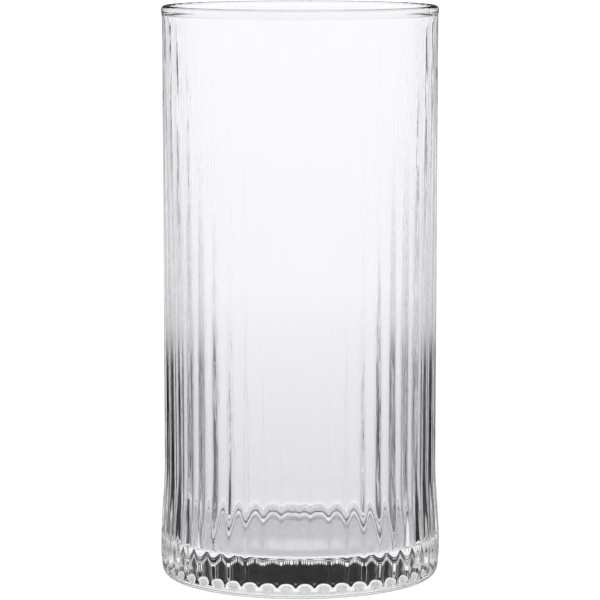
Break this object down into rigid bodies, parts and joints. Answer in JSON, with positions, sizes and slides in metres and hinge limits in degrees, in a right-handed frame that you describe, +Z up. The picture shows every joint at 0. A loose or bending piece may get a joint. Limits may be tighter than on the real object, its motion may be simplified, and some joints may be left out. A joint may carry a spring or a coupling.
{
  "type": "highball glass",
  "caption": "Tall straight-sided highball glass in clear fluted glass, with a rounded rim bead, a slightly flared heavy base and a hollowed foot.",
  "frame": {"origin": "centre of the foot, on the surface that the glass stands on", "axes": "+Z up along the glass's axis towards the open rim; a flute's middle faces -Y"},
  "size_m": [0.071, 0.071, 0.145],
  "materials": {
    "clear_glass": "clear soda-lime glass, fire-polished rim and inside, mould-textured flutes, stippled bearing ring"
  },
  "bodies": {
    "root": {"glass_body": "clear_glass"}
  },
  "joints": []
}
